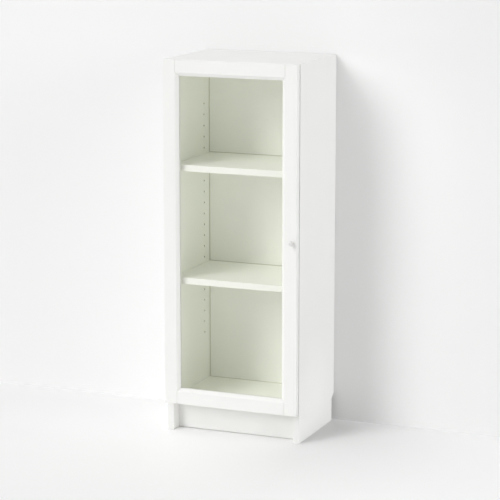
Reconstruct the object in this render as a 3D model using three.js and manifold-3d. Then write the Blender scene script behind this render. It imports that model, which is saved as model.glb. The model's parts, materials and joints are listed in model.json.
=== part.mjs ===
// A narrow bookcase with one glazed door: a board carcass on a recessed plinth, a thin back panel,
// two loose shelves on pins, and a framed glass door on two concealed link hinges.
// Millimetres. X runs to the right, Y to the back, Z up. The origin is on the floor, under the
// middle of the whole outline, knob included.
import * as THREE from 'three';
import { mergeVertices } from 'three/addons/utils/BufferGeometryUtils.js';
import Module from 'manifold-3d';

const wasm = await Module();
wasm.setup();

// Carcass
const width = 400;
const height = 1060;
const carcassDepth = 280;
const sideThickness = 18;
const topThickness = 18;
const bottomThickness = 18;
const backThickness = 3;
const backInset = 18; // rear edge of the sides to the rear face of the back panel
const grooveDepth = 5;
const grooveClearance = 0.25;
const grooveEndClearance = 0.5;

// Plinth, and the notch that lets the case stand against a wall with a skirting board
const plinthHeight = 78;
const plinthThickness = 16;
const plinthRecess = 36;
const plinthFloorGap = 2;
const bottomEdgeEase = 1.5; // chamfer on the long bottom edges of the sides
const skirtingDepth = 18;
const skirtingInnerHeight = 66;
const skirtingRearHeight = 81;

// Shelves, their pins and the rows of pin holes
const shelfThickness = 18;
const shelfFrontInset = 4;
const shelfEndClearance = 1;
const shelfBackClearance = 1;
const holePitch = 32;
const holeRadius = 2.5;
const holeDepth = 10;
const firstHoleRise = 142; // above the bottom panel
const lastHoleDrop = 130; // least distance below the top panel
const frontRowInset = 37;
const rearRowInset = 36; // in front of the back panel
const lowerShelfShare = 0.286; // of the way up the rows
const upperShelfShare = 0.762;
const pinClearance = 0.2;
const pinReach = 8; // out of the side panel
const pinRingRadius = 3.2;
const pinRingThickness = 0.7;
const pocketClearance = 0.3; // round a pin, in the underside of a shelf

// Cam fittings that pull the top and bottom panels onto the sides, and the plinth's dowels
const camRadius = 7.5;
const camDepth = 12.5;
const camReach = 24; // from the side panel to the middle of the cam
const camFrontInset = 70;
const camRearInset = 50;
const camSlotWidth = 8;
const camSlotFloor = 5;
const boltRadius = 2.5;
const boltShankRadius = 3.2;
const boltHeadRadius = 3.6;
const boltHeadLength = 2.5;
const boltNeckRadius = 2.2;
const boltNeckLength = 3;
const boltThreadLength = 11;
const dowelRadius = 4;
const dowelBuried = 11; // in the side panel
const dowelReach = 19; // in the plinth
const fitClearance = 0.25;

// Door
const doorGap = 2; // carcass to door
const doorThickness = 18;
const doorSideReveal = 1.5;
const doorTopReveal = 0;
const doorBottomRise = 6; // above the plinth
const frameFlat = 35.5; // flat part of each frame member
const bevelWidth = 9.5;
const bevelDepth = 7;
const glassSetback = 8;
const glassThickness = 4;
const glassSideClearance = 1;
const rebateWidth = 7;
const jointGap = 0.25;
const retainerWidth = 6.5;
const retainerThickness = 5;

// Knob and its screw
const knobInset = 12; // door edge to the middle of the knob
const knobProjection = 14;
const knobRadius = 7;
const knobNeckRadius = 4;
const knobNeckLength = 7.5;
const knobEdgeRound = 2;
const knobDish = 0.5;
const knobBoreDepth = 9;
const knobScrewRadius = 2;
const knobScrewHeadRadius = 3.75;
const knobScrewHeadThickness = 2.5;
const counterboreDepth = 3.5;

// Closing pads on the door
const padRadius = 4;
const padThickness = 1.7;
const padSideInset = 8;
const padEndInset = 16;

// Link hinges. The near pin turns in the door's cup, the far pin in the arm inside the carcass.
const hingeInset = 100; // end of the door to the middle of a hinge
const cupRadius = 13;
const cupWall = 1;
const cupDepth = 11.5;
const cupEdgeDistance = 4;
const flangeWidth = 28;
const flangeLength = 56;
const flangeThickness = 1;
const cupStudRadius = 4;
const cupStudLength = 9;
const cupStudSpacing = 42;
const nearPinInset = 9; // from the door's edge
const nearPinDepth = 3.5; // below the door's rear face
const nearPinRadius = 1;
const nearBossRadius = 2;
const farPinOffset = 12; // from the side panel's inner face
const farPinSetback = 5; // behind the carcass front
const farPinRadius = 1.5;
const farBossRadius = 3;
const farPinHeadRadius = 2.5;
const farPinHeadThickness = 0.8;
const linkThickness = 2;
const linkHeight = 9;
const linkNearBendX = 3.5; // bends of the link, measured from the near pin
const linkNearBendY = -4;
const linkFarBendX = 13.5;
const linkFarBendY = -0.5;
const cheekGap = 0.4;
const cheekThickness = 1.3;
const armNoseRadius = 3.5;
const armBackLength = 30; // behind the far pin
const armNeckLength = 8;
const armWebSetback = 4.5; // far pin to the front of the web
const plateThickness = 2;
const plateWidth = 20;
const plateLength = 54;
const plateBlockWidth = 22;
const plateBlockHeight = 3.2;
const plateRibHeight = 3;
const plateRibWidth = 10;
const plateRibSetback = 10; // rear end of the arm to the rib
const plateSeatGap = 0.3;
const screwSpacing = 32;
const screwRadius = 3;
const screwLength = 11;
const screwHeadRadius = 4.5;
const screwHeadThickness = 2;
const driveWidth = 1.2; // cross recess in the screw heads
const driveDepth = 1;

// Facets of round pieces, and the overrun of every cut
const fewSides = 8;
const someSides = 12;
const manySides = 20;
const knobSides = 28;
const roundSteps = 4;
const overrun = 2;

// Places worked out from the sizes
const innerHalfWidth = width / 2 - sideThickness;
const totalDepth = carcassDepth + doorGap + doorThickness + knobProjection;
const rearY = totalDepth / 2;
const frontY = rearY - carcassDepth;
const doorBackY = frontY - doorGap;
const doorFrontY = doorBackY - doorThickness;
const backRearY = rearY - backInset;
const backFrontY = backRearY - backThickness;
const bottomTopZ = plinthHeight + bottomThickness;
const topUndersideZ = height - topThickness;
const frontRowY = frontY + frontRowInset;
const rearRowY = backFrontY - rearRowInset;
const firstHoleZ = bottomTopZ + firstHoleRise;
const holeCount = Math.floor((topUndersideZ - lastHoleDrop - firstHoleZ) / holePitch) + 1;
const holeHeight = (index) => firstHoleZ + index * holePitch;
const lowerShelfHole = Math.round(lowerShelfShare * (holeCount - 1));
const upperShelfHole = Math.round(upperShelfShare * (holeCount - 1));
const pinRadius = holeRadius - pinClearance;
const doorWidth = width - 2 * doorSideReveal;
const doorBottomZ = plinthHeight + doorBottomRise;
const doorHeight = height - doorTopReveal - doorBottomZ;
const doorLeftX = -doorWidth / 2;
const frameWidth = frameFlat + bevelWidth;
const rebateInset = frameWidth - rebateWidth;
const hingeHeights = {
  lower: doorBottomZ + hingeInset,
  upper: doorBottomZ + doorHeight - hingeInset,
};
const cupX = doorLeftX + cupEdgeDistance + cupRadius;
const nearPinX = doorLeftX + nearPinInset;
const nearPinY = doorBackY - nearPinDepth;
const farPinX = -innerHalfWidth + farPinOffset;
const farPinY = frontY + farPinSetback;
const armHalfHeight = linkHeight / 2 + cheekGap + cheekThickness;

// Finishes
const finish = (color, roughness, metalness = 0) =>
  new THREE.MeshStandardMaterial({ color, roughness, metalness });
const whiteFoil = finish('#ecece9', 0.5);
const whiteLacquer = finish('#f2f2f0', 0.38);
const hardboardWhite = finish('#e6e7e0', 0.6);
const clearGlass = new THREE.MeshStandardMaterial({
  color: '#e8f0e4', roughness: 0.05, metalness: 0, transparent: true, opacity: 0.3,
});
const whitePlastic = finish('#e9e9e6', 0.45);
const nickelSteel = finish('#b9bab8', 0.32, 1);
const zincSteel = finish('#a9abad', 0.42, 1);
const beech = finish('#cdb088', 0.7);
const clearPad = finish('#dfe3e0', 0.3);

// Shapes
const axisX = new THREE.Vector3(1, 0, 0);
const axisY = new THREE.Vector3(0, 1, 0);
const axisZ = new THREE.Vector3(0, 0, 1);
const sideOn = new THREE.Matrix4().makeBasis(axisY, axisZ, axisX);
const frontOn = new THREE.Matrix4().makeBasis(axisX, axisZ, axisY.clone().negate());

function block(lowX, highX, lowY, highY, lowZ, highZ) {
  const geometry = new THREE.BoxGeometry(highX - lowX, highY - lowY, highZ - lowZ);
  return geometry.translate((lowX + highX) / 2, (lowY + highY) / 2, (lowZ + highZ) / 2);
}

// A round bar along one axis, from a start length to an end length on that axis.
function bar(axis, radius, start, end, sides) {
  const geometry = new THREE.CylinderGeometry(radius, radius, end - start, sides);
  geometry.rotateY(Math.PI / sides).translate(0, (start + end) / 2, 0);
  if (axis === 'x') geometry.rotateZ(-Math.PI / 2);
  if (axis === 'z') geometry.rotateX(Math.PI / 2);
  return geometry;
}

// A turned piece: points are [radius, length along the axis], from the axis back to the axis.
function turned(axis, points, sides) {
  const profile = points.map(([radius, along]) => new THREE.Vector2(radius, along));
  const geometry = new THREE.LatheGeometry(profile, sides).rotateY(Math.PI / sides);
  if (axis === 'x') geometry.rotateZ(-Math.PI / 2);
  if (axis === 'z') geometry.rotateX(Math.PI / 2);
  return geometry;
}

function outline(points) {
  return new THREE.Shape(points.map(([across, up]) => new THREE.Vector2(across, up)));
}

function extruded(shape, depth, placing) {
  const geometry = new THREE.ExtrudeGeometry(shape, { depth, bevelEnabled: false });
  return placing ? geometry.applyMatrix4(placing) : geometry;
}

function toSolid(geometry) {
  const bare = geometry.clone();
  bare.deleteAttribute('normal');
  bare.deleteAttribute('uv');
  const merged = mergeVertices(bare);
  return new wasm.Manifold(new wasm.Mesh({
    numProp: 3,
    vertProperties: new Float32Array(merged.attributes.position.array),
    triVerts: new Uint32Array(merged.index.array),
  }));
}

function toGeometry(solid) {
  const mesh = solid.getMesh();
  const geometry = new THREE.BufferGeometry();
  geometry.setAttribute('position', new THREE.BufferAttribute(mesh.vertProperties, mesh.numProp));
  geometry.setIndex(new THREE.BufferAttribute(mesh.triVerts, 1));
  return geometry;
}

// Joins the first list of geometries and cuts the second list out of it.
function shaped(added, removed = []) {
  const [first, ...others] = added.map(toSolid);
  const whole = others.reduce((solid, other) => solid.add(other), first);
  return toGeometry(removed.map(toSolid).reduce((solid, other) => solid.subtract(other), whole));
}

function piece(name, geometry, material, x = 0, y = 0, z = 0) {
  const mesh = new THREE.Mesh(geometry, material);
  mesh.name = name;
  mesh.position.set(x, y, z);
  return mesh;
}

// Side panels are drawn with the inner face at x 0 and the board towards negative x; the right
// one is the same drawing mirrored by the sign.
function sidePanel(name, sign) {
  const board = outline([
    [frontY, 0],
    [rearY - skirtingDepth, 0],
    [rearY - skirtingDepth, skirtingInnerHeight],
    [rearY, skirtingRearHeight],
    [rearY, height],
    [frontY, height],
  ]);
  const body = extruded(board, sideThickness, sideOn);
  if (sign < 0) body.translate(-sideThickness, 0, 0);
  const towards = (depth) => (sign < 0 ? [-depth, overrun] : [-overrun, depth]);
  const bore = (radius, depth, y, z) => {
    const [start, end] = towards(depth);
    return bar('x', radius, start, end, fewSides).translate(0, y, z);
  };
  const [grooveLow, grooveHigh] = towards(grooveDepth);
  const cuts = [block(
    grooveLow, grooveHigh,
    backFrontY - grooveClearance, backRearY + grooveClearance,
    plinthHeight - overrun, topUndersideZ + grooveDepth,
  )];
  for (const x of [0, sign * sideThickness]) {
    const corner = outline([
      [x - bottomEdgeEase, 0], [x, bottomEdgeEase], [x + bottomEdgeEase, 0], [x, -bottomEdgeEase],
    ]);
    cuts.push(extruded(corner, carcassDepth + 2 * overrun, frontOn).translate(0, rearY + overrun, 0));
  }
  for (let index = 0; index < holeCount; index += 1) {
    cuts.push(bore(holeRadius, holeDepth, frontRowY, holeHeight(index)));
    cuts.push(bore(holeRadius, holeDepth, rearRowY, holeHeight(index)));
  }
  for (const { y, z } of camPlaces()) {
    cuts.push(bore(boltRadius + fitClearance, boltThreadLength + fitClearance, y, z));
  }
  cuts.push(bore(
    dowelRadius + fitClearance, dowelBuried + fitClearance,
    frontY + plinthRecess + plinthThickness / 2, plinthHeight / 2,
  ));
  if (sign < 0) {
    for (const hingeZ of Object.values(hingeHeights)) {
      for (const end of [-1, 1]) {
        cuts.push(bore(
          screwRadius + fitClearance, screwLength + fitClearance - plateThickness,
          frontRowY, hingeZ + end * screwSpacing / 2,
        ));
      }
    }
  }
  return piece(name, shaped([body], cuts), whiteFoil, sign * innerHalfWidth);
}

// Front and rear cam places on one side, for the top and the bottom panel.
function camPlaces() {
  return [
    { label: 'bottom_front', y: frontY + camFrontInset, z: plinthHeight + bottomThickness / 2 },
    { label: 'bottom_rear', y: backFrontY - camRearInset, z: plinthHeight + bottomThickness / 2 },
    { label: 'top_front', y: frontY + camFrontInset, z: topUndersideZ + topThickness / 2 },
    { label: 'top_rear', y: backFrontY - camRearInset, z: topUndersideZ + topThickness / 2 },
  ];
}

// Bores for the cams and bolts of one horizontal panel, cut from its underside and its two ends.
function camBores(label, undersideZ) {
  const cuts = [];
  for (const place of camPlaces().filter((entry) => entry.label.startsWith(label))) {
    for (const sign of [-1, 1]) {
      const camX = sign * (innerHalfWidth - camReach);
      cuts.push(bar('z', camRadius + fitClearance, -overrun, camDepth + fitClearance, manySides)
        .translate(camX, place.y, undersideZ));
      const ends = [camX, sign * (innerHalfWidth + overrun)].sort((low, high) => low - high);
      cuts.push(bar('x', boltShankRadius + boltNeckLength / 2, ends[0], ends[1], someSides)
        .translate(0, place.y, place.z));
    }
  }
  return cuts;
}

function topPanel() {
  const board = block(-innerHalfWidth, innerHalfWidth, frontY, rearY, topUndersideZ, height);
  const groove = block(
    -innerHalfWidth - overrun, innerHalfWidth + overrun,
    backFrontY - grooveClearance, backRearY + grooveClearance,
    topUndersideZ - overrun, topUndersideZ + grooveDepth,
  );
  return piece('top_panel', shaped([board], [groove, ...camBores('top', topUndersideZ)]), whiteFoil);
}

function bottomPanel() {
  const board = block(
    -innerHalfWidth, innerHalfWidth, frontY, backFrontY, plinthHeight, bottomTopZ,
  );
  return piece('bottom_panel', shaped([board], camBores('bottom', plinthHeight)), whiteFoil);
}

function backPanel() {
  const halfWidth = innerHalfWidth + grooveDepth - grooveEndClearance;
  const geometry = block(
    -halfWidth, halfWidth, backFrontY, backRearY,
    plinthHeight, topUndersideZ + grooveDepth - grooveEndClearance,
  );
  return piece('back_panel', geometry, hardboardWhite);
}

function plinth() {
  const group = new THREE.Group();
  const middleY = frontY + plinthRecess + plinthThickness / 2;
  const board = block(
    -innerHalfWidth, innerHalfWidth,
    middleY - plinthThickness / 2, middleY + plinthThickness / 2, plinthFloorGap, plinthHeight,
  );
  const cuts = [];
  for (const [side, sign] of [['left', -1], ['right', 1]]) {
    const inner = sign * (innerHalfWidth - dowelReach - fitClearance);
    const outer = sign * (innerHalfWidth + overrun);
    cuts.push(bar('x', dowelRadius + fitClearance, Math.min(inner, outer), Math.max(inner, outer), fewSides)
      .translate(0, middleY, plinthHeight / 2));
    const start = sign * (innerHalfWidth - dowelReach);
    const end = sign * (innerHalfWidth + dowelBuried);
    const dowel = bar('x', dowelRadius, Math.min(start, end), Math.max(start, end), fewSides);
    group.add(piece(`${side}_plinth_dowel`, dowel, beech, 0, middleY, plinthHeight / 2));
  }
  group.add(piece('plinth', shaped([board], cuts), whiteFoil));
  return group;
}

// One cam fitting: a bolt screwed into the side, and the cam that grips its head.
function camFitting(label, sign, y, z, undersideZ) {
  const group = new THREE.Group();
  const headEnd = camReach + boltHeadLength;
  const boltProfile = [
    [0, -boltThreadLength],
    [boltRadius, -boltThreadLength],
    [boltRadius, 0],
    [boltShankRadius, 0],
    [boltShankRadius, camReach - camRadius - fitClearance],
    [boltNeckRadius, camReach - camRadius - fitClearance],
    [boltNeckRadius, camReach - boltNeckLength / 2],
    [boltHeadRadius, camReach - boltNeckLength / 2],
    [boltHeadRadius, headEnd - boltNeckLength / 2],
    [0, headEnd - boltNeckLength / 2],
  ];
  const bolt = turned('x', boltProfile, fewSides);
  if (sign > 0) bolt.rotateZ(Math.PI);
  group.add(piece(`${label}_cam_bolt`, bolt, zincSteel, sign * innerHalfWidth, y, z));
  const slotRise = boltHeadRadius + fitClearance + (z - undersideZ);
  const slotEnds = [-sign * camSlotWidth / 2, sign * (camRadius + overrun)];
  const slot = block(
    Math.min(...slotEnds), Math.max(...slotEnds),
    -camSlotWidth / 2, camSlotWidth / 2, camSlotFloor, Math.max(slotRise, camDepth + overrun),
  );
  const drive = [
    block(-driveWidth / 2, driveWidth / 2, -boltHeadRadius, boltHeadRadius, -overrun, driveDepth),
    block(-boltHeadRadius, boltHeadRadius, -driveWidth / 2, driveWidth / 2, -overrun, driveDepth),
  ];
  const cam = shaped([bar('z', camRadius, 0, camDepth, manySides)], [slot, ...drive]);
  const camX = sign * (innerHalfWidth - camReach);
  group.add(piece(`${label}_cam_lock`, cam, zincSteel, camX, y, undersideZ));
  return group;
}

function camFittings() {
  const group = new THREE.Group();
  for (const { label, y, z } of camPlaces()) {
    const undersideZ = label.startsWith('top') ? topUndersideZ : plinthHeight;
    group.add(camFitting(`${label}_left`, -1, y, z, undersideZ));
    group.add(camFitting(`${label}_right`, 1, y, z, undersideZ));
  }
  return group;
}

// A shelf on four pins. The pins lie in pockets in its underside, open to its ends.
function shelf(label, holeIndex) {
  const group = new THREE.Group();
  const pinZ = holeHeight(holeIndex);
  const undersideZ = pinZ - pinRadius - pocketClearance;
  const halfWidth = innerHalfWidth - shelfEndClearance;
  const pocketHalf = pinRadius + pocketClearance;
  const board = block(
    -halfWidth, halfWidth, frontY + shelfFrontInset, backFrontY - shelfBackClearance,
    undersideZ, undersideZ + shelfThickness,
  );
  const cuts = [];
  for (const [side, sign] of [['left', -1], ['right', 1]]) {
    for (const [row, rowY] of [['front', frontRowY], ['rear', rearRowY]]) {
      const inner = sign * (innerHalfWidth - pinReach - pocketClearance);
      const outer = sign * (innerHalfWidth + overrun);
      cuts.push(block(
        Math.min(inner, outer), Math.max(inner, outer), rowY - pocketHalf, rowY + pocketHalf,
        undersideZ - overrun, pinZ + pocketHalf,
      ));
      const profile = [
        [0, -holeDepth + pinClearance],
        [pinRadius, -holeDepth + pinClearance],
        [pinRadius, 0],
        [pinRingRadius, 0],
        [pinRingRadius, pinRingThickness],
        [pinRadius, pinRingThickness],
        [pinRadius, pinReach],
        [0, pinReach],
      ];
      const pin = turned('x', profile, fewSides);
      if (sign > 0) pin.rotateZ(Math.PI);
      group.add(piece(
        `${label}_shelf_pin_${side}_${row}`, pin, nickelSteel, sign * innerHalfWidth, rowY, pinZ,
      ));
    }
  }
  group.add(piece(`${label}_shelf`, shaped([board], cuts), whiteFoil));
  return group;
}

// Door frame members, drawn in the door's own front view: across from its left edge, up from
// its bottom edge, and back from its front face towards its rear face at y 0.
function memberOutline(points) {
  return extruded(outline(points), doorThickness, frontOn);
}

function bevelCut(alongZ, length) {
  const section = [
    [0, -doorThickness],
    [0, -doorThickness - overrun],
    [bevelWidth + overrun, -doorThickness - overrun],
    [bevelWidth + overrun, -doorThickness + bevelDepth * (bevelWidth + overrun) / bevelWidth],
  ];
  const geometry = extruded(outline(section), length);
  if (!alongZ) geometry.applyMatrix4(new THREE.Matrix4().makeBasis(axisZ, axisY, axisX.clone().negate()));
  return geometry;
}

function stile(name, sign) {
  const end = frameFlat + jointGap;
  const points = [
    [0, 0],
    [frameFlat, 0],
    [frameFlat, end],
    [frameWidth, frameWidth + jointGap],
    [frameWidth, doorHeight - frameWidth - jointGap],
    [frameFlat, doorHeight - end],
    [frameFlat, doorHeight],
    [0, doorHeight],
  ];
  const cuts = [
    bevelCut(true, doorHeight + 2 * overrun).translate(frameFlat, 0, -overrun),
    block(
      rebateInset, frameWidth + overrun, glassSetback - doorThickness, overrun,
      rebateInset, doorHeight - rebateInset,
    ),
  ];
  const bore = (radius, depth, across, up, sides) =>
    bar('y', radius, -depth, overrun, sides).translate(across, 0, up);
  if (sign < 0) {
    const across = cupEdgeDistance + cupRadius;
    for (const hingeZ of Object.values(hingeHeights)) {
      const up = hingeZ - doorBottomZ;
      cuts.push(bore(cupRadius + fitClearance, cupDepth + fitClearance, across, up, manySides));
      for (const end of [-1, 1]) {
        cuts.push(bore(
          cupStudRadius + fitClearance, cupStudLength + fitClearance,
          across, up + end * cupStudSpacing / 2, fewSides,
        ));
      }
    }
  } else {
    cuts.push(bore(
      knobScrewRadius + fitClearance, doorThickness + overrun, knobInset, doorHeight / 2, fewSides,
    ));
    cuts.push(bore(
      knobScrewHeadRadius + fitClearance, counterboreDepth, knobInset, doorHeight / 2, someSides,
    ));
  }
  const geometry = shaped([memberOutline(points)], cuts);
  if (sign > 0) geometry.applyMatrix4(new THREE.Matrix4().makeScale(-1, 1, 1));
  if (sign > 0) flipFaces(geometry);
  return piece(name, geometry, whiteLacquer, sign * doorWidth / 2, doorBackY, doorBottomZ);
}

// A mirrored geometry needs its triangles wound the other way.
function flipFaces(geometry) {
  const index = geometry.index.array;
  for (let start = 0; start < index.length; start += 3) {
    [index[start], index[start + 1]] = [index[start + 1], index[start]];
  }
}

function rail(name, sign) {
  const low = frameFlat + jointGap;
  const points = [
    [low, 0],
    [doorWidth - low, 0],
    [doorWidth - low, frameFlat],
    [doorWidth - frameWidth - jointGap, frameWidth],
    [frameWidth + jointGap, frameWidth],
    [low, frameFlat],
  ];
  const cuts = [
    bevelCut(false, doorWidth + 2 * overrun).translate(doorWidth + overrun, 0, frameFlat),
    block(
      rebateInset, doorWidth - rebateInset, glassSetback - doorThickness, overrun,
      rebateInset, frameWidth + overrun,
    ),
  ];
  const geometry = shaped([memberOutline(points)], cuts);
  if (sign > 0) geometry.applyMatrix4(new THREE.Matrix4().makeScale(1, 1, -1));
  if (sign > 0) flipFaces(geometry);
  const z = sign > 0 ? doorBottomZ + doorHeight : doorBottomZ;
  return piece(name, geometry, whiteLacquer, doorLeftX, doorBackY, z);
}

function glazing() {
  const group = new THREE.Group();
  const inset = rebateInset + glassSideClearance;
  const glassFront = doorFrontY + glassSetback;
  const glass = block(
    doorLeftX + inset, doorLeftX + doorWidth - inset, glassFront, glassFront + glassThickness,
    doorBottomZ + inset, doorBottomZ + doorHeight - inset,
  );
  group.add(piece('glass_pane', glass, clearGlass));
  const ring = (margin) => [
    [margin, margin],
    [doorWidth - margin, margin],
    [doorWidth - margin, doorHeight - margin],
    [margin, doorHeight - margin],
  ];
  const outer = outline(ring(rebateInset + grooveClearance));
  const innerMargin = rebateInset + grooveClearance + retainerWidth;
  outer.holes.push(new THREE.Path(outline(ring(innerMargin)).getPoints().reverse()));
  const body = extruded(outer, retainerThickness, frontOn);
  const retainerY = glassFront + glassThickness + grooveClearance + retainerThickness;
  group.add(piece('glass_retainer', body, whitePlastic, doorLeftX, retainerY, doorBottomZ));
  return group;
}

function knob() {
  const group = new THREE.Group();
  const x = doorLeftX + doorWidth - knobInset;
  const z = doorBottomZ + doorHeight / 2;
  const profile = [[0, 0], [knobNeckRadius, 0], [knobNeckRadius, knobNeckLength]];
  profile.push([knobRadius, knobNeckLength]);
  for (let step = 0; step <= roundSteps; step += 1) {
    const angle = (step / roundSteps) * Math.PI / 2;
    profile.push([
      knobRadius - knobEdgeRound + knobEdgeRound * Math.cos(angle),
      knobProjection - knobDish - knobEdgeRound + knobEdgeRound * Math.sin(angle),
    ]);
  }
  profile.push([0, knobProjection]);
  const body = turned('y', profile, knobSides);
  const bore = bar('y', knobScrewRadius + fitClearance, -overrun, knobBoreDepth, fewSides);
  const geometry = shaped([body], [bore]).rotateX(Math.PI);
  group.add(piece('knob', geometry, whiteLacquer, x, doorFrontY, z));
  const shankEnd = doorThickness + knobBoreDepth - fitClearance;
  const headFace = counterboreDepth - knobScrewHeadThickness;
  const screwProfile = [
    [0, headFace],
    [knobScrewHeadRadius, headFace],
    [knobScrewHeadRadius, counterboreDepth],
    [knobScrewRadius, counterboreDepth],
    [knobScrewRadius, shankEnd],
    [0, shankEnd],
  ];
  const screw = shaped([turned('y', screwProfile, fewSides)], crossRecess(headFace, knobScrewRadius));
  group.add(piece('knob_screw', screw.rotateX(Math.PI), zincSteel, x, doorBackY, z));
  return group;
}

// A cross recess in a head whose outer face is at the given length on the Y axis.
function crossRecess(face, reach) {
  return [
    block(-driveWidth / 2, driveWidth / 2, face - overrun, face + driveDepth, -reach, reach),
    block(-reach, reach, face - overrun, face + driveDepth, -driveWidth / 2, driveWidth / 2),
  ];
}

function closingPads() {
  const group = new THREE.Group();
  const x = doorLeftX + doorWidth - padSideInset;
  const heights = {
    lower: doorBottomZ + padEndInset,
    upper: doorBottomZ + doorHeight - padEndInset,
  };
  for (const [label, z] of Object.entries(heights)) {
    const pad = bar('y', padRadius, 0, padThickness, someSides);
    group.add(piece(`${label}_closing_pad`, pad, clearPad, x, doorBackY, z));
  }
  return group;
}

// Hinge pieces on the door: the cup pressed into the stile, and the near pin across it.
function hingeCup(label) {
  const flange = block(
    -flangeWidth / 2, flangeWidth / 2, 0, flangeThickness, -flangeLength / 2, flangeLength / 2,
  );
  const studs = [-1, 1].map((end) =>
    bar('y', cupStudRadius, -cupStudLength, flangeThickness, fewSides)
      .translate(0, 0, end * cupStudSpacing / 2));
  const cup = bar('y', cupRadius, -cupDepth, flangeThickness / 2, manySides);
  const hollow = bar('y', cupRadius - cupWall, cupWall - cupDepth, overrun, manySides);
  const geometry = shaped([flange, cup, ...studs], [hollow]);
  return piece(`${label}_hinge_cup`, geometry, nickelSteel, cupX, doorBackY);
}

function nearPin(label) {
  const innerRadius = (cupRadius - cupWall) * Math.cos(Math.PI / manySides);
  const halfLength = Math.sqrt(innerRadius ** 2 - (cupX - nearPinX + nearPinRadius) ** 2) - fitClearance;
  const pin = bar('z', nearPinRadius, -halfLength, halfLength, fewSides);
  return piece(`${label}_hinge_cup_pin`, pin, nickelSteel, nearPinX, nearPinY);
}

// The hooked link, between the near pin and the far pin.
function hingeLink(label) {
  const farX = farPinX - nearPinX;
  const farY = farPinY - nearPinY;
  const stations = [[0, 0], [linkNearBendX, linkNearBendY], [linkFarBendX, linkFarBendY], [farX, farY]];
  const half = linkHeight / 2;
  const added = [
    bar('z', nearBossRadius, -half, half, someSides),
    bar('z', farBossRadius, -half, half, someSides).translate(farX, farY, 0),
  ];
  for (let index = 1; index < stations.length; index += 1) {
    const [fromX, fromY] = stations[index - 1];
    const [toX, toY] = stations[index];
    const length = Math.hypot(toX - fromX, toY - fromY);
    const web = block(0, length, -linkThickness / 2, linkThickness / 2, -half, half);
    added.push(web.rotateZ(Math.atan2(toY - fromY, toX - fromX)).translate(fromX, fromY, 0));
    if (index < stations.length - 1) {
      added.push(bar('z', linkThickness / 2, -half, half, someSides).translate(toX, toY, 0));
    }
  }
  const removed = [
    bar('z', nearPinRadius + fitClearance, -half - overrun, half + overrun, someSides),
    bar('z', farPinRadius + fitClearance, -half - overrun, half + overrun, someSides)
      .translate(farX, farY, 0),
  ];
  return piece(`${label}_hinge_link`, shaped(added, removed), nickelSteel, nearPinX, nearPinY);
}

// Hinge pieces on the carcass: the arm, its pin, the mounting plate and two screws. The arm is a
// channel whose web slopes from the pin down to the plate.
function hingeArm(label) {
  const cheekLow = linkHeight / 2 + cheekGap;
  const seatX = plateThickness + plateBlockHeight + plateSeatGap - farPinOffset;
  const webFront = [armNoseRadius, armWebSetback];
  const webRear = [seatX + cheekThickness, armBackLength];
  const cheek = outline([
    [-armNoseRadius, 0],
    [armNoseRadius, 0],
    webFront,
    webRear,
    [seatX, armBackLength],
    [seatX, armNeckLength],
    [-armNoseRadius, armNeckLength],
  ]);
  const web = outline([
    [webFront[0] - cheekThickness, webFront[1]],
    webFront,
    webRear,
    [webRear[0] - cheekThickness, webRear[1]],
  ]);
  const added = [extruded(web, 2 * armHalfHeight).translate(0, 0, -armHalfHeight)];
  for (const low of [-armHalfHeight, cheekLow]) {
    added.push(extruded(cheek, cheekThickness).translate(0, 0, low));
    added.push(bar('z', armNoseRadius, low, low + cheekThickness, someSides));
  }
  const removed = [
    bar('z', farPinRadius + fitClearance, -armHalfHeight - overrun, armHalfHeight + overrun, someSides),
  ];
  return piece(`${label}_hinge_arm`, shaped(added, removed), nickelSteel, farPinX, farPinY);
}

function farPin(label) {
  const shoulder = armHalfHeight + cheekGap / 2;
  const profile = [
    [0, -shoulder - farPinHeadThickness],
    [farPinHeadRadius, -shoulder - farPinHeadThickness],
    [farPinHeadRadius, -shoulder],
    [farPinRadius, -shoulder],
    [farPinRadius, shoulder],
    [farPinHeadRadius, shoulder],
    [farPinHeadRadius, shoulder + farPinHeadThickness],
    [0, shoulder + farPinHeadThickness],
  ];
  return piece(`${label}_hinge_arm_pin`, turned('z', profile, someSides), nickelSteel, farPinX, farPinY);
}

function mountingPlate(label) {
  const rearY = farPinY + armBackLength;
  const ribRearY = rearY - plateRibSetback;
  const blockTop = plateThickness + plateBlockHeight;
  const ribHalf = linkHeight / 2;
  const screwY = frontRowY;
  const added = [
    block(
      0, plateThickness, screwY - plateWidth / 2, screwY + plateWidth / 2,
      -plateLength / 2, plateLength / 2,
    ),
    block(0, blockTop, rearY - plateBlockWidth, rearY, -armHalfHeight, armHalfHeight),
    block(0, blockTop + plateRibHeight, ribRearY - plateRibWidth, ribRearY, -ribHalf, ribHalf),
  ];
  const removed = [-1, 1].map((end) =>
    bar('x', screwRadius + fitClearance, -overrun, plateThickness + overrun, fewSides)
      .translate(0, screwY, end * screwSpacing / 2));
  return piece(`${label}_hinge_plate`, shaped(added, removed), nickelSteel, -innerHalfWidth);
}

function plateScrew(label, end) {
  const shankEnd = screwLength - plateThickness;
  const profile = [
    [0, -plateThickness - screwHeadThickness],
    [screwHeadRadius, -plateThickness - screwHeadThickness],
    [screwHeadRadius, -plateThickness],
    [screwRadius, -plateThickness],
    [screwRadius, shankEnd],
    [0, shankEnd],
  ];
  const face = -plateThickness - screwHeadThickness;
  const geometry = shaped([turned('y', profile, fewSides)], crossRecess(face, screwRadius));
  geometry.rotateZ(Math.PI / 2);
  const side = end < 0 ? 'lower' : 'upper';
  return piece(
    `${label}_hinge_plate_screw_${side}`, geometry, zincSteel,
    -innerHalfWidth, frontRowY, end * screwSpacing / 2,
  );
}

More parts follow.
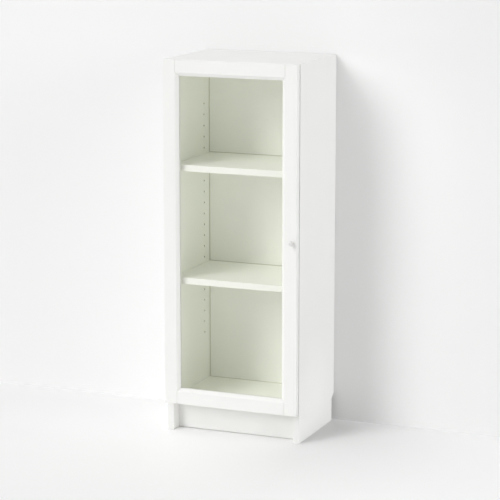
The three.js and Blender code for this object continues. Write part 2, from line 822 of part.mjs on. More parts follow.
function hinges() {
  const group = new THREE.Group();
  for (const [label, z] of Object.entries(hingeHeights)) {
    const hinge = new THREE.Group();
    hinge.position.z = z;
    hinge.add(hingeCup(label), nearPin(label), hingeLink(label));
    hinge.add(hingeArm(label), farPin(label), mountingPlate(label));
    hinge.add(plateScrew(label, -1), plateScrew(label, 1));
    group.add(hinge);
  }
  return group;
}

const bookcase = new THREE.Group();
bookcase.add(sidePanel('left_side_panel', -1), sidePanel('right_side_panel', 1));
bookcase.add(topPanel(), bottomPanel(), backPanel(), plinth());
bookcase.add(shelf('lower', lowerShelfHole), shelf('upper', upperShelfHole));
bookcase.add(camFittings());
bookcase.add(stile('left_door_stile', -1), stile('right_door_stile', 1));
bookcase.add(rail('bottom_door_rail', -1), rail('top_door_rail', 1));
bookcase.add(glazing(), knob(), closingPads());
bookcase.add(hinges());

export default bookcase;
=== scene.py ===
import json
import math
import bmesh
import bpy
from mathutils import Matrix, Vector


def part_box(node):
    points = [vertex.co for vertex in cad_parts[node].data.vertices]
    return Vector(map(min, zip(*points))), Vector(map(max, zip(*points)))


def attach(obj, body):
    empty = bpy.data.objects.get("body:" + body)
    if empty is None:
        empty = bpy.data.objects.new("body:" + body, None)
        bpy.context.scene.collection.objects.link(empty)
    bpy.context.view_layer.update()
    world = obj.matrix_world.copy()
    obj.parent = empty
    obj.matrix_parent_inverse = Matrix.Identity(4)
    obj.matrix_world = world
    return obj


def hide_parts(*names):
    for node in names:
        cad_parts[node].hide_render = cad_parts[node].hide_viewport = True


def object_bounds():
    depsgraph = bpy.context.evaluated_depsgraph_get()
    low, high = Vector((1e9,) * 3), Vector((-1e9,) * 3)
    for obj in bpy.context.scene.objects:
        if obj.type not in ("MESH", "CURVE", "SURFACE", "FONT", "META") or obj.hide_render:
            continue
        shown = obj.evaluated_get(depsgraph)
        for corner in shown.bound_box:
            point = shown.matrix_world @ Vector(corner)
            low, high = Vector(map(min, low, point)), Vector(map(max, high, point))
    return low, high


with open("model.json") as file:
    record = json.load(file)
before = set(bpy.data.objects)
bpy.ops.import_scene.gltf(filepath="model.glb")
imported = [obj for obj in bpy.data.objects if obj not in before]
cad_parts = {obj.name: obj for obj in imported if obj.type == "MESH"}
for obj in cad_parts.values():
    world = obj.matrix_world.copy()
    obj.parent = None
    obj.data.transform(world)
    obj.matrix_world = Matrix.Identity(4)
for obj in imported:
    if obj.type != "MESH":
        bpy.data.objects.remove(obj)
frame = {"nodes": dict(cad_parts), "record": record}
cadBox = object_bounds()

mm = 0.001
nodes = frame["nodes"]


# colours are written as sRGB hex, the shaders want linear light
def paint(hexColour, alpha=1.0):
    channels = [int(hexColour[i:i + 2], 16) / 255 for i in (1, 3, 5)]
    linear = [c / 12.92 if c <= 0.04045 else ((c + 0.055) / 1.055) ** 2.4 for c in channels]
    return (*linear, alpha)


# adds a node, sets its properties, and fills or links its inputs
def addNode(tree, kind, inputs=None, **settings):
    node = tree.nodes.new(kind)
    for name, value in settings.items():
        setattr(node, name, value)
    for key, value in (inputs or {}).items():
        if isinstance(value, bpy.types.NodeSocket):
            tree.links.new(value, node.inputs[key])
        else:
            node.inputs[key].default_value = value
    return node


# camera, placed where the photographer stood: metres and degrees, but millimetres for the lens and sensor
cameraSetup = {
    "place": (2.2128, -5.3477, 1.6509),
    "lookDown": 11.115,
    "turn": 22.46,
    "focalLength": 150.3,
    "sensorWidth": 36,
    "farEnd": 200,
}

# light bounces many times inside a white case
bounceSetup = {"all": 24, "diffuse": 16, "clear": 32}


def setCamera():
    data = bpy.data.cameras.new("camera")
    data.sensor_width = cameraSetup["sensorWidth"]
    data.lens = cameraSetup["focalLength"]
    data.clip_end = cameraSetup["farEnd"]
    camera = bpy.data.objects.new("camera", data)
    camera.location = cameraSetup["place"]
    camera.rotation_euler = (
        math.radians(90 - cameraSetup["lookDown"]), 0, math.radians(cameraSetup["turn"])
    )
    scene = bpy.context.scene
    scene.collection.objects.link(camera)
    scene.camera = camera
    scene.view_settings.view_transform = "Standard"
    scene.cycles.max_bounces = bounceSetup["all"]
    scene.cycles.diffuse_bounces = bounceSetup["diffuse"]
    scene.cycles.transparent_max_bounces = bounceSetup["clear"]


# bearing is in degrees to the right of straight in front, height in degrees over the horizon, level is the
# light that a face square to it gets, and softness is how wide the lamp looks, in degrees
lampSetup = {
    "keyLow": {"bearing": -31, "height": 22, "level": 0.311, "softness": 25},
    "keyHigh": {"bearing": -31, "height": 45, "level": 0.255, "softness": 30},
    "leftFill": {"bearing": -90, "height": 60, "level": 0.455, "softness": 60},
    "frontFill": {"bearing": -5, "height": 12, "level": 0.131, "softness": 60},
    "sideFill": {"bearing": 84, "height": 8, "level": 0.55, "softness": 40},
}

lampDistance = 3  # only where the lamps stand in the viewport: they shine as suns

# a low spot from the right for the foot of the side panel, where the floor lies in the bookcase's shadow;
# reach is the radius of its pool of light on the panel
footSpot = {
    "place": (6, 0, 0.12), "aim": (0.2, 0.02, 0), "reach": 0.28, "level": 0.17,
    "blend": 1.0, "lampRadius": 0.1,
}

# the world shines from behind only, and is seen and reflected as a pale grey
worldSetup = {"shown": "#f5f5f5", "front": 0.0, "back": 0.27, "frontUpTo": -0.2, "backFrom": 0.4}

# the floor is painted lighter where the fills leave it darker, on the right and near the wall on the left,
# as painted light, and the wall is painted a little greyer on the right, as painted shade, so that no line
# shows between them
stageSetup = {
    "floorColour": "#f7f7f7", "paintedLightFloor": "#ffffff", "floorSize": 60,
    "rightFrom": 0.25, "rightTo": 0.6, "leftFrom": -0.25, "leftTo": -0.5,
    "nearFrom": -0.3, "nearTo": 0.14,
    "wallColour": "#f2f2f2", "paintedShadeWall": "#ebebeb", "wallGap": 0.002, "wallWidth": 60, "wallTop": 20,
}


def addLamps():
    for name, spec in lampSetup.items():
        data = bpy.data.lights.new(name, "SUN")
        data.energy = spec["level"] * math.pi
        data.angle = math.radians(spec["softness"])
        lamp = bpy.data.objects.new(name, data)
        bearing, height = math.radians(spec["bearing"]), math.radians(spec["height"])
        towards = Vector((
            math.sin(bearing) * math.cos(height), -math.cos(bearing) * math.cos(height), math.sin(height)
        ))
        lamp.rotation_euler = (-towards).to_track_quat("-Z", "Y").to_euler()
        lamp.location = towards * lampDistance
        lamp.visible_glossy = False
        bpy.context.scene.collection.objects.link(lamp)


def addFootSpot():
    towards = Vector(footSpot["aim"]) - Vector(footSpot["place"])
    data = bpy.data.lights.new("footSpot", "SPOT")
    data.energy = footSpot["level"] * 4 * math.pi ** 2 * towards.length_squared
    data.spot_size = 2 * math.atan(footSpot["reach"] / towards.length)
    data.spot_blend = footSpot["blend"]
    data.shadow_soft_size = footSpot["lampRadius"]
    lamp = bpy.data.objects.new("footSpot", data)
    lamp.location = footSpot["place"]
    lamp.rotation_euler = towards.to_track_quat("-Z", "Y").to_euler()
    lamp.visible_camera = lamp.visible_glossy = False
    bpy.context.scene.collection.objects.link(lamp)


def setWorld():
    world = bpy.data.worlds.new("studio")
    bpy.context.scene.world = world
    world.use_nodes = True
    tree = world.node_tree
    tree.nodes.clear()
    direction = addNode(tree, "ShaderNodeTexCoord")
    axes = addNode(tree, "ShaderNodeSeparateXYZ", {0: direction.outputs["Generated"]})
    level = addNode(tree, "ShaderNodeMapRange", {
        "Value": axes.outputs["Y"],
        "From Min": worldSetup["frontUpTo"], "From Max": worldSetup["backFrom"],
        "To Min": worldSetup["front"], "To Max": worldSetup["back"],
    })
    light = addNode(tree, "ShaderNodeBackground", {"Color": (1, 1, 1, 1), "Strength": level.outputs[0]})
    shown = addNode(tree, "ShaderNodeBackground", {"Color": paint(worldSetup["shown"]), "Strength": 1.0})
    ray = addNode(tree, "ShaderNodeLightPath")
    seen = 0.0
    for kind in ("Is Camera Ray", "Is Glossy Ray", "Is Transmission Ray"):
        seen = addNode(tree, "ShaderNodeMath", {
            0: seen, 1: ray.outputs[kind],
        }, operation="MAXIMUM").outputs[0]
    both = addNode(tree, "ShaderNodeMixShader", {0: seen, 1: light.outputs[0], 2: shown.outputs[0]})
    addNode(tree, "ShaderNodeOutputWorld", {"Surface": both.outputs[0]})


def newMaterial(name):
    material = bpy.data.materials.new(name)
    material.use_nodes = True
    material.node_tree.nodes.clear()
    return material, material.node_tree


def meshObject(name, verts, faces):
    mesh = bpy.data.meshes.new(name)
    mesh.from_pydata(verts, [], faces)
    mesh.update()
    piece = bpy.data.objects.new(name, mesh)
    bpy.context.scene.collection.objects.link(piece)
    return piece


def addFloor():
    half = stageSetup["floorSize"] / 2
    floor = meshObject("floor", [
        (-half, -half, 0), (half, -half, 0), (half, half, 0), (-half, half, 0),
    ], [(0, 1, 2, 3)])
    material, tree = newMaterial("matt white floor")
    place = addNode(tree, "ShaderNodeTexCoord")
    axes = addNode(tree, "ShaderNodeSeparateXYZ", {0: place.outputs["Object"]})
    # painted light: the floor turns lighter on the right, and on the left near the wall, where the fills
    # leave it darker
    right = addNode(tree, "ShaderNodeMapRange", {
        "Value": axes.outputs["X"],
        "From Min": stageSetup["rightFrom"], "From Max": stageSetup["rightTo"],
    })
    left = addNode(tree, "ShaderNodeMapRange", {
        "Value": axes.outputs["X"],
        "From Min": stageSetup["leftFrom"], "From Max": stageSetup["leftTo"],
    })
    nearWall = addNode(tree, "ShaderNodeMapRange", {
        "Value": axes.outputs["Y"],
        "From Min": stageSetup["nearFrom"], "From Max": stageSetup["nearTo"],
    })
    leftCorner = addNode(tree, "ShaderNodeMath", {
        0: left.outputs[0], 1: nearWall.outputs[0],
    }, operation="MULTIPLY")
    paintedLightShare = addNode(tree, "ShaderNodeMath", {
        0: right.outputs[0], 1: leftCorner.outputs[0],
    }, operation="MAXIMUM")
    colour = addNode(tree, "ShaderNodeMix", {
        0: paintedLightShare.outputs[0], 6: paint(stageSetup["floorColour"]), 7: paint(stageSetup["paintedLightFloor"]),
    }, data_type="RGBA")
    surface = addNode(tree, "ShaderNodeBsdfDiffuse", {"Color": colour.outputs[2]})
    addNode(tree, "ShaderNodeOutputMaterial", {"Surface": surface.outputs[0]})
    floor.data.materials.append(material)


# the wall behind the bookcase only takes its shadow: the light passes it, and it isn't there from behind
def addWall():
    half, top = stageSetup["wallWidth"] / 2, stageSetup["wallTop"]
    face = cadBox[1][1] + stageSetup["wallGap"]
    wall = meshObject("wall", [
        (-half, face, 0), (half, face, 0), (half, face, top), (-half, face, top),
    ], [(0, 1, 2, 3)])
    wall.visible_diffuse = False
    wall.visible_glossy = False
    wall.visible_transmission = False
    wall.visible_shadow = False
    material, tree = newMaterial("matt white wall")
    place = addNode(tree, "ShaderNodeTexCoord")
    axes = addNode(tree, "ShaderNodeSeparateXYZ", {0: place.outputs["Object"]})
    # painted shade: the wall turns a little greyer on the right
    right = addNode(tree, "ShaderNodeMapRange", {
        "Value": axes.outputs["X"],
        "From Min": stageSetup["rightFrom"], "From Max": stageSetup["rightTo"],
    })
    colour = addNode(tree, "ShaderNodeMix", {
        0: right.outputs[0], 6: paint(stageSetup["wallColour"]), 7: paint(stageSetup["paintedShadeWall"]),
    }, data_type="RGBA")
    surface = addNode(tree, "ShaderNodeBsdfDiffuse", {"Color": colour.outputs[2]})
    clear = addNode(tree, "ShaderNodeBsdfTransparent")
    side = addNode(tree, "ShaderNodeNewGeometry")
    mixed = addNode(tree, "ShaderNodeMixShader", {
        0: side.outputs["Backfacing"], 1: surface.outputs[0], 2: clear.outputs[0],
    })
    addNode(tree, "ShaderNodeOutputMaterial", {"Surface": mixed.outputs[0]})
    wall.data.materials.append(material)


# the inside of the case: between the sides, from the front edges to the back panel, over the bottom panel
caseLow = Vector((
    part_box("left_side_panel")[1][0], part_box("left_side_panel")[0][1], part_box("bottom_panel")[1][2]
))
caseHigh = Vector((
    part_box("right_side_panel")[0][0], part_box("back_panel")[0][1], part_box("top_panel")[0][2]
))
shelfTops = [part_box(name)[1][2] for name in ("bottom_panel", "lower_shelf", "upper_shelf")]
pinRows = [
    (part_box("lower_shelf_pin_left_" + row)[0][1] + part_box("lower_shelf_pin_left_" + row)[1][1]) / 2
    for row in ("front", "rear")
]

# most of a noise pattern lies between these two values
noiseSpread = {"low": 0.3, "high": 0.7}

# how every painted, foiled or moulded white surface varies in gloss and takes its relief
coatPattern = {
    "toneDetail": 3.0, "toneRoughness": 0.55, "reliefDetail": 2.0, "reliefStrength": 0.5,
    "glossSpread": 0.03, "ior": 1.5,
}


# the tone, gloss and relief of a white surface, each at its real size
def coatedSurface(tree, spec, colourSocket=None):
    place = addNode(tree, "ShaderNodeTexCoord")
    tone = addNode(tree, "ShaderNodeTexNoise", {
        "Vector": place.outputs["Object"], "Scale": 1 / spec["toneSize"],
        "Detail": coatPattern["toneDetail"], "Roughness": coatPattern["toneRoughness"],
    })
    shade = addNode(tree, "ShaderNodeMapRange", {
        "Value": tone.outputs["Fac"],
        "From Min": noiseSpread["low"], "From Max": noiseSpread["high"],
        "To Min": 1 - spec["toneShare"], "To Max": 1.0,
    })
    tinted = addNode(tree, "ShaderNodeVectorMath", {
        0: colourSocket or paint(spec["colour"])[:3], 1: shade.outputs[0],
    }, operation="MULTIPLY")
    relief = addNode(tree, "ShaderNodeTexNoise", {
        "Vector": place.outputs["Object"], "Scale": 1 / spec["reliefSize"],
        "Detail": coatPattern["reliefDetail"],
    })
    bump = addNode(tree, "ShaderNodeBump", {
        "Height": relief.outputs["Fac"], "Distance": spec["reliefHeight"],
        "Strength": coatPattern["reliefStrength"],
    })
    shine = addNode(tree, "ShaderNodeMapRange", {
        "Value": tone.outputs["Fac"],
        "From Min": noiseSpread["low"], "From Max": noiseSpread["high"],
        "To Min": spec["roughness"] - coatPattern["glossSpread"],
        "To Max": spec["roughness"] + coatPattern["glossSpread"],
    })
    surface = addNode(tree, "ShaderNodeBsdfPrincipled", {
        "Base Color": tinted.outputs[0], "Roughness": shine.outputs[0],
        "Normal": bump.outputs[0], "IOR": coatPattern["ior"],
    })
    addNode(tree, "ShaderNodeOutputMaterial", {"Surface": surface.outputs[0]})


def coatedMaterial(name, spec):
    material, tree = newMaterial(name)
    coatedSurface(tree, spec)
    return material


# paper foil glued on particleboard and embossed: even and satin; the drilled holes show the brown board
foilSpec = {
    "paintedLightInsideColour": "#f9faf5", "outsideColour": "#eeeeec", "boardColour": "#8d7656",
    "toneShare": 0.012, "toneSize": 90 * mm, "reliefSize": 1.2 * mm, "reliefHeight": 0.02 * mm,
    "roughness": 0.42,
    "slack": 0.2 * mm, "foilDepth": 0.3 * mm, "holeRadius": 2.6 * mm, "rowMargin": 50 * mm,
}


def foiledBoard():
    material, tree = newMaterial("satin foil on particleboard")
    place = addNode(tree, "ShaderNodeTexCoord")
    axes = addNode(tree, "ShaderNodeSeparateXYZ", {0: place.outputs["Object"]})

    # inside the case is where it lies between the walls along all three axes; there the foil is painted
    # lighter than outside, as painted light for the inside of the case
    middle, half = (caseLow + caseHigh) / 2, (caseHigh - caseLow) / 2
    inside = 1.0
    for axis in range(3):
        between = addNode(tree, "ShaderNodeMath", {
            0: axes.outputs[axis], 1: middle[axis], 2: half[axis] + foilSpec["slack"],
        }, operation="COMPARE")
        inside = addNode(tree, "ShaderNodeMath", {
            0: inside, 1: between.outputs[0],
        }, operation="MULTIPLY").outputs[0]
    foil = addNode(tree, "ShaderNodeMix", {
        0: inside, 6: paint(foilSpec["outsideColour"]), 7: paint(foilSpec["paintedLightInsideColour"]),
    }, data_type="RGBA")

    # the walls of the shelf-pin holes lie inside the thickness of the side panels
    fromMiddle = addNode(tree, "ShaderNodeMath", {0: axes.outputs["X"]}, operation="ABSOLUTE")
    halfThickness = (cadBox[1][0] - half.x) / 2
    inBoard = addNode(tree, "ShaderNodeMath", {
        0: fromMiddle.outputs[0], 1: half.x + halfThickness, 2: halfThickness - foilSpec["foilDepth"],
    }, operation="COMPARE")
    inRows = 0.0
    for row in pinRows:
        atRow = addNode(tree, "ShaderNodeMath", {
            0: axes.outputs["Y"], 1: row, 2: foilSpec["holeRadius"],
        }, operation="COMPARE")
        inRows = addNode(tree, "ShaderNodeMath", {
            0: inRows, 1: atRow.outputs[0],
        }, operation="MAXIMUM").outputs[0]
    alongRow = addNode(tree, "ShaderNodeMath", {
        0: axes.outputs["Z"], 1: middle.z, 2: half.z - foilSpec["rowMargin"],
    }, operation="COMPARE")
    drilled = addNode(tree, "ShaderNodeMath", {0: inRows, 1: alongRow.outputs[0]}, operation="MULTIPLY")
    hole = addNode(tree, "ShaderNodeMath", {
        0: drilled.outputs[0], 1: inBoard.outputs[0],
    }, operation="MULTIPLY")
    colour = addNode(tree, "ShaderNodeMix", {
        0: hole.outputs[0], 6: foil.outputs[2], 7: paint(foilSpec["boardColour"]),
    }, data_type="RGBA")
    coatedSurface(tree, foilSpec, colour.outputs[2])
    return material


# sprayed lacquer: a very fine orange peel on fibreboard; where a rail meets a stile a fine grey line of
# painted shade stands for the shade in the narrow joint, drawn wider than it is so that it shows
lacquerSpec = {
    "colour": "#f0f0ee", "seamShadeColour": "#dadad5", "toneShare": 0.01, "toneSize": 60 * mm,
    "reliefSize": 1.6 * mm, "reliefHeight": 0.03 * mm, "roughness": 0.33,
    "seamWidth": 1.0 * mm, "bevelWidth": 9.5 * mm,
}


def sprayedLacquer():
    material, tree = newMaterial("sprayed lacquer on fibreboard")
    place = addNode(tree, "ShaderNodeTexCoord")
    axes = addNode(tree, "ShaderNodeSeparateXYZ", {0: place.outputs["Object"]})
    railLow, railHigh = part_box("top_door_rail")
    stileLow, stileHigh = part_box("left_door_stile")
    middle, flat = (stileLow[2] + stileHigh[2]) / 2, railLow[2] + lacquerSpec["bevelWidth"]
    # painted shade: a grey line where the rails' ends meet the stiles
    fromMiddle = addNode(tree, "ShaderNodeMath", {0: axes.outputs["X"]}, operation="ABSOLUTE")
    atEnd = addNode(tree, "ShaderNodeMath", {
        0: fromMiddle.outputs[0], 1: railHigh[0], 2: lacquerSpec["seamWidth"] / 2,
    }, operation="COMPARE")
    up = addNode(tree, "ShaderNodeMath", {0: axes.outputs["Z"], 1: middle}, operation="SUBTRACT")
    upOrDown = addNode(tree, "ShaderNodeMath", {0: up.outputs[0]}, operation="ABSOLUTE")
    onRail = addNode(tree, "ShaderNodeMath", {
        0: upOrDown.outputs[0], 1: flat - middle,
    }, operation="GREATER_THAN")
    seam = addNode(tree, "ShaderNodeMath", {
        0: atEnd.outputs[0], 1: onRail.outputs[0],
    }, operation="MULTIPLY")
    colour = addNode(tree, "ShaderNodeMix", {
        0: seam.outputs[0], 6: paint(lacquerSpec["colour"]), 7: paint(lacquerSpec["seamShadeColour"]),
    }, data_type="RGBA")
    coatedSurface(tree, lacquerSpec, colour.outputs[2])
    return material


# rolled paint on thin hardboard, matt; its front face has a dark line of painted shade along the grooves
# and behind each shelf, where shade falls in the gaps, drawn wider than it is so that it shows
hardboardSpec = {
    "colour": "#f7f8f3", "shadeLineColour": "#cfcfbe", "toneShare": 0.02, "toneSize": 50 * mm,
    "reliefSize": 0.9 * mm, "reliefHeight": 0.03 * mm, "roughness": 0.55,
    "sideLine": 2.4 * mm, "shelfLine": 1.4 * mm, "frontSkin": 1 * mm,
}


def paintedHardboard():
    material, tree = newMaterial("painted hardboard")
    place = addNode(tree, "ShaderNodeTexCoord")
    axes = addNode(tree, "ShaderNodeSeparateXYZ", {0: place.outputs["Object"]})
    # painted shade: a dark line along the side grooves and along each shelf top, on the front face only
    fromMiddle = addNode(tree, "ShaderNodeMath", {0: axes.outputs["X"]}, operation="ABSOLUTE")
    line = addNode(tree, "ShaderNodeMath", {
        0: fromMiddle.outputs[0], 1: caseHigh.x, 2: hardboardSpec["sideLine"],
    }, operation="COMPARE")
    for top in shelfTops:
        atShelf = addNode(tree, "ShaderNodeMath", {
            0: axes.outputs["Z"], 1: top, 2: hardboardSpec["shelfLine"],
        }, operation="COMPARE")
        line = addNode(tree, "ShaderNodeMath", {
            0: line.outputs[0], 1: atShelf.outputs[0],
        }, operation="MAXIMUM")
    inFront = addNode(tree, "ShaderNodeMath", {
        0: axes.outputs["Y"], 1: caseHigh.y + hardboardSpec["frontSkin"],
    }, operation="LESS_THAN")
    share = addNode(tree, "ShaderNodeMath", {
        0: line.outputs[0], 1: inFront.outputs[0],
    }, operation="MULTIPLY")
    colour = addNode(tree, "ShaderNodeMix", {
        0: share.outputs[0], 6: paint(hardboardSpec["colour"]), 7: paint(hardboardSpec["shadeLineColour"]),
    }, data_type="RGBA")
    coatedSurface(tree, hardboardSpec, colour.outputs[2])
    return material


# moulded PVC, even, and a little greyer and glossier than the foil inside the case
pvcSpec = {
    "colour": "#eeeeec", "toneShare": 0.008, "toneSize": 30 * mm,
    "reliefSize": 0.8 * mm, "reliefHeight": 0.01 * mm, "roughness": 0.4,
}

# soft clear vinyl, cloudy from its thickness
vinylSpec = {
    "colour": "#e4e6e3", "toneShare": 0.02, "toneSize": 4 * mm,
    "reliefSize": 0.5 * mm, "reliefHeight": 0.01 * mm, "roughness": 0.25,
}

glassSpec = {"tint": "#fefefd", "sheenRoughness": 0.03, "ior": 1.5}


# clear float glass: hardly any tint in a pane this thin, and a sheen that grows at a slant
def floatGlass():
    material, tree = newMaterial("clear float glass")
    through = addNode(tree, "ShaderNodeBsdfTransparent", {"Color": paint(glassSpec["tint"])})
    mirror = addNode(tree, "ShaderNodeBsdfGlossy", {
        "Color": (1, 1, 1, 1), "Roughness": glassSpec["sheenRoughness"],
    })
    edge = addNode(tree, "ShaderNodeFresnel", {"IOR": glassSpec["ior"]})
    side = addNode(tree, "ShaderNodeNewGeometry")
    front = addNode(tree, "ShaderNodeMath", {0: 1.0, 1: side.outputs["Backfacing"]}, operation="SUBTRACT")
    share = addNode(tree, "ShaderNodeMath", {
        0: edge.outputs[0], 1: front.outputs[0],
    }, operation="MULTIPLY")
    mixed = addNode(tree, "ShaderNodeMixShader", {
        0: share.outputs[0], 1: through.outputs[0], 2: mirror.outputs[0],
    })
    addNode(tree, "ShaderNodeOutputMaterial", {"Surface": mixed.outputs[0]})
    return material


# nickel looks warm and bright, zinc bluish and duller
nickelSpec = {"colour": "#cfccc6", "roughness": 0.28, "markSize": 0.4 * mm}
zincSpec = {"colour": "#c6cacd", "roughness": 0.38, "markSize": 0.4 * mm}

# both are plated in a barrel, which leaves tiny tumbling marks that break up the reflections
tumbleMarks = {"detail": 2.0, "glossier": 0.06, "duller": 0.08, "depth": 0.01 * mm, "strength": 0.3}


def platedSteel(name, spec):
    material, tree = newMaterial(name)
    place = addNode(tree, "ShaderNodeTexCoord")
    marks = addNode(tree, "ShaderNodeTexNoise", {
        "Vector": place.outputs["Object"], "Scale": 1 / spec["markSize"], "Detail": tumbleMarks["detail"],
    })
    shine = addNode(tree, "ShaderNodeMapRange", {
        "Value": marks.outputs["Fac"],
        "To Min": spec["roughness"] - tumbleMarks["glossier"],
        "To Max": spec["roughness"] + tumbleMarks["duller"],
    })
    bump = addNode(tree, "ShaderNodeBump", {
        "Height": marks.outputs["Fac"], "Distance": tumbleMarks["depth"],
        "Strength": tumbleMarks["strength"],
    })
    surface = addNode(tree, "ShaderNodeBsdfPrincipled", {
        "Base Color": paint(spec["colour"]), "Metallic": 1.0,
        "Roughness": shine.outputs[0], "Normal": bump.outputs[0],
    })
    addNode(tree, "ShaderNodeOutputMaterial", {"Surface": surface.outputs[0]})
    return material


# turned beech: short brown flecks drawn out along the dowel
beechSpec = {
    "dark": "#b98f62", "light": "#d9b88b", "darkUpTo": 0.35, "lightFrom": 0.7,
    "poreSize": 0.8 * mm, "stretch": 0.12, "poreDetail": 4.0, "roughness": 0.65,
}


def turnedBeech():
    material, tree = newMaterial("turned beech")
    place = addNode(tree, "ShaderNodeTexCoord")
    stretch = addNode(tree, "ShaderNodeMapping", {
        "Vector": place.outputs["Object"], "Scale": (beechSpec["stretch"], 1, 1),
    })
    grain = addNode(tree, "ShaderNodeTexNoise", {
        "Vector": stretch.outputs[0], "Scale": 1 / beechSpec["poreSize"], "Detail": beechSpec["poreDetail"],
    })
    ramp = addNode(tree, "ShaderNodeValToRGB", {0: grain.outputs["Fac"]})
    ramp.color_ramp.elements[0].position = beechSpec["darkUpTo"]
    ramp.color_ramp.elements[0].color = paint(beechSpec["dark"])
    ramp.color_ramp.elements[1].position = beechSpec["lightFrom"]
    ramp.color_ramp.elements[1].color = paint(beechSpec["light"])
    surface = addNode(tree, "ShaderNodeBsdfPrincipled", {
        "Base Color": ramp.outputs[0], "Roughness": beechSpec["roughness"],
    })
    addNode(tree, "ShaderNodeOutputMaterial", {"Surface": surface.outputs[0]})
    return material


def makeMaterials():
    return {
        "white_foil_board": foiledBoard(),
        "white_lacquer": sprayedLacquer(),
        "white_hardboard": paintedHardboard(),
        "beech_dowel": turnedBeech(),
        "clear_glass": floatGlass(),
        "white_plastic": coatedMaterial("moulded PVC", pvcSpec),
        "clear_pad": coatedMaterial("clear vinyl", vinylSpec),
        "nickel_steel": platedSteel("nickel-plated steel", nickelSpec),
        "zinc_steel": platedSteel("zinc-plated steel", zincSpec),
    }


slotOf = {row["node"]: row["material_slot"] for row in frame["record"]["subparts"]}

# edges that turn at least this many degrees get a small round: the door's own bevel turns 36, while the
# walls of the holes in the boards turn 45 or less and stay as they are
edgeRounds = {
    "white_foil_board": {"round": 0.7 * mm, "fromAngle": 50},
    "white_lacquer": {"round": 0.48 * mm, "fromAngle": 34},
    "white_hardboard": {"round": 0.2 * mm, "fromAngle": 50},
    "clear_glass": {"round": 0.4 * mm, "fromAngle": 50},
    "white_plastic": {"round": 0.3 * mm, "fromAngle": 34},
}

# the bores that meet inside these two leave thin walls, which a wider round would cut through
finelyEased = {"pieces": ("top_panel", "bottom_panel"), "round": 0.2 * mm, "fromAngle": 50}

# points closer than the weld are one, and faces that turn less than the flat angle are one
easing = {"weld": 0.005 * mm, "flatAngle": 0.5, "steps": 3}


# boards, frame members and panes: flat faces with eased edges
def easeEdges(piece, spec):
    weld = piece.modifiers.new("weld", "WELD")
    weld.merge_threshold = easing["weld"]
    flat = piece.modifiers.new("flat", "DECIMATE")
    flat.decimate_type = "DISSOLVE"
    flat.angle_limit = math.radians(easing["flatAngle"])
    ease = piece.modifiers.new("ease", "BEVEL")
    ease.width = spec["round"]
    ease.segments = easing["steps"]
    ease.limit_method = "ANGLE"
    ease.angle_limit = math.radians(spec["fromAngle"])
    ease.use_clamp_overlap = False


sharpFrom = 38  # degrees between faces that meet at a sharp edge


# turned and pressed metal, dowels and pads: smooth round faces, sharp where faces meet
def smoothRounds(mesh, fromAngle):
    for polygon in mesh.polygons:
        polygon.use_smooth = True
    mesh.set_sharp_from_angle(angle=math.radians(fromAngle))


def dressNodes(materials):
    for name, piece in nodes.items():
        slot = slotOf[name]
        piece.data.materials.clear()
        piece.data.materials.append(materials[slot])
        if name in finelyEased["pieces"]:
            easeEdges(piece, finelyEased)
        elif slot in edgeRounds:
            easeEdges(piece, edgeRounds[slot])
        else:
            smoothRounds(piece.data, sharpFrom)


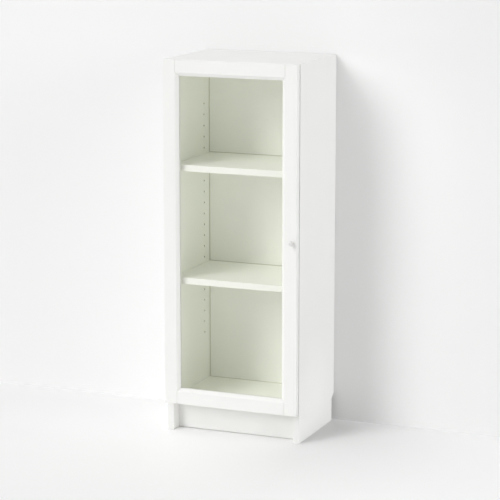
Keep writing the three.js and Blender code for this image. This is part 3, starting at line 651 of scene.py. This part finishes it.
# a turned piece round an axis that points out of the door, from (radius, height over the door) pairs
def turnedPiece(name, profile, sides, fromAngle):
    shape = bmesh.new()
    rings = []
    for radius, height in profile:
        if radius == 0:
            rings.append([shape.verts.new((0, -height, 0))])
            continue
        turns = [2 * math.pi * i / sides for i in range(sides)]
        rings.append([
            shape.verts.new((radius * math.cos(turn), -height, radius * math.sin(turn))) for turn in turns
        ])
    for lower, upper in zip(rings, rings[1:]):
        for i in range(sides):
            j = (i + 1) % sides
            corners = [
                lower[i % len(lower)], lower[j % len(lower)],
                upper[j % len(upper)], upper[i % len(upper)],
            ]
            # a ring of one point gives triangles
            shape.faces.new(list(dict.fromkeys(corners)))
    bmesh.ops.recalc_face_normals(shape, faces=shape.faces)
    mesh = bpy.data.meshes.new(name)
    shape.to_mesh(mesh)
    shape.free()
    smoothRounds(mesh, fromAngle)
    piece = bpy.data.objects.new(name, mesh)
    bpy.context.scene.collection.objects.link(piece)
    return piece


# powder coat on a turned metal knob: satin, a little greyer than the door
knobCoatSpec = {
    "colour": "#dadad8", "toneShare": 0.01, "toneSize": 10 * mm,
    "reliefSize": 0.6 * mm, "reliefHeight": 0.01 * mm, "roughness": 0.35,
}

# the head stands off the door on a thin neck, so a dark gap shows beside it; lengths are in millimetres
knobShape = {
    "neckRadius": 4.0, "neckLength": 7.5, "frontRound": 2.2, "backRound": 0.8, "crown": 0.5,
    "crownShares": (0.75, 0.5, 0.25, 0), "steps": 6, "sides": 64, "sharpFrom": 50,
}


def makeKnob():
    low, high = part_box("knob")
    radius = (high[2] - low[2]) / 2 / mm
    length = (high[1] - low[1]) / mm
    spec = knobShape
    profile = [(0, 0), (spec["neckRadius"], 0), (spec["neckRadius"], spec["neckLength"])]
    for step in range(spec["steps"] + 1):
        angle = math.pi / 2 * step / spec["steps"]
        profile.append((
            radius - spec["backRound"] + spec["backRound"] * math.sin(angle),
            spec["neckLength"] + spec["backRound"] - spec["backRound"] * math.cos(angle),
        ))
    rim = length - spec["crown"]
    for step in range(spec["steps"] + 1):
        angle = math.pi / 2 * step / spec["steps"]
        profile.append((
            radius - spec["frontRound"] + spec["frontRound"] * math.cos(angle),
            rim - spec["frontRound"] + spec["frontRound"] * math.sin(angle),
        ))
    crownEdge = radius - spec["frontRound"]
    for share in spec["crownShares"]:
        profile.append((crownEdge * share, rim + spec["crown"] * (1 - share * share)))
    profile = [(around * mm, out * mm) for around, out in profile]
    knob = turnedPiece("turned_knob", profile, spec["sides"], spec["sharpFrom"])
    seat = Vector(((low[0] + high[0]) / 2, high[1], (low[2] + high[2]) / 2))
    for vertex in knob.data.vertices:
        vertex.co += seat
    knob.data.materials.append(coatedMaterial("powder-coated knob", knobCoatSpec))
    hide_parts("knob")
    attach(knob, "door")


setCamera()
addLamps()
addFootSpot()
setWorld()
addFloor()
addWall()
print("stage set")
materials = makeMaterials()
dressNodes(materials)
print("frame dressed")
makeKnob()
print("knob turned")
